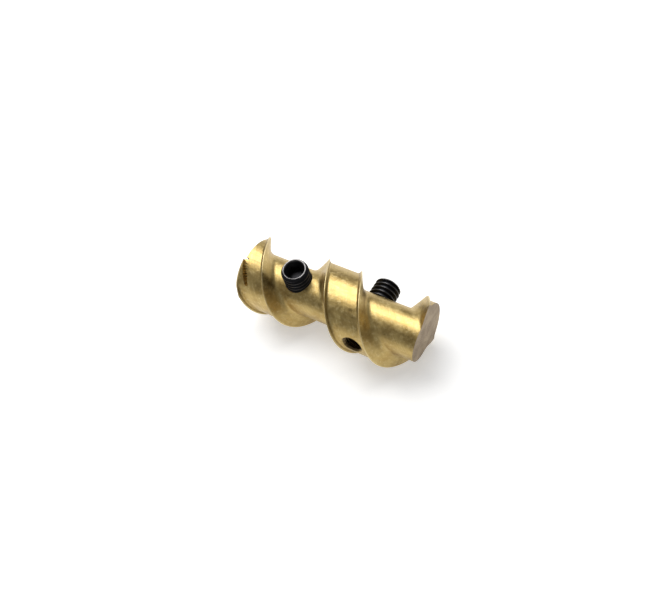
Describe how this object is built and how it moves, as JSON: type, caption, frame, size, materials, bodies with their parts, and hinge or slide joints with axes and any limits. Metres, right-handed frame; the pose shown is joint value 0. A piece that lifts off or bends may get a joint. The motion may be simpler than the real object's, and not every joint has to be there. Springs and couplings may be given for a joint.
{
  "type": "beam coupling",
  "caption": "Turned brass shaft coupling with one helical rib whose land has raised sharp lips, and black socket set screws standing in its groove.",
  "frame": {"origin": "on the coupling's axis at half its length, which is inside the shaft bore", "axes": "+X along the axis towards the closed end, +Z the direction the left set screw points in"},
  "size_m": [0.0278, 0.012, 0.0115],
  "materials": {
    "brass": "turned",
    "black_oxide_steel": "black oxide"
  },
  "bodies": {
    "body": {"coupling_body": "brass"},
    "left_screw": {"left_set_screw": "black_oxide_steel"},
    "right_screw": {"right_set_screw": "black_oxide_steel"}
  },
  "joints": [
    {"name": "left_screw_travel", "type": "slide", "parent": "body", "child": "left_screw", "axis": [0, 0, 1], "range_m": [-0.0015, 0.001]},
    {"name": "right_screw_travel", "type": "slide", "parent": "body", "child": "right_screw", "axis": [0, 0.9914, -0.1305], "range_m": [-0.0018, 0.0007]}
  ]
}
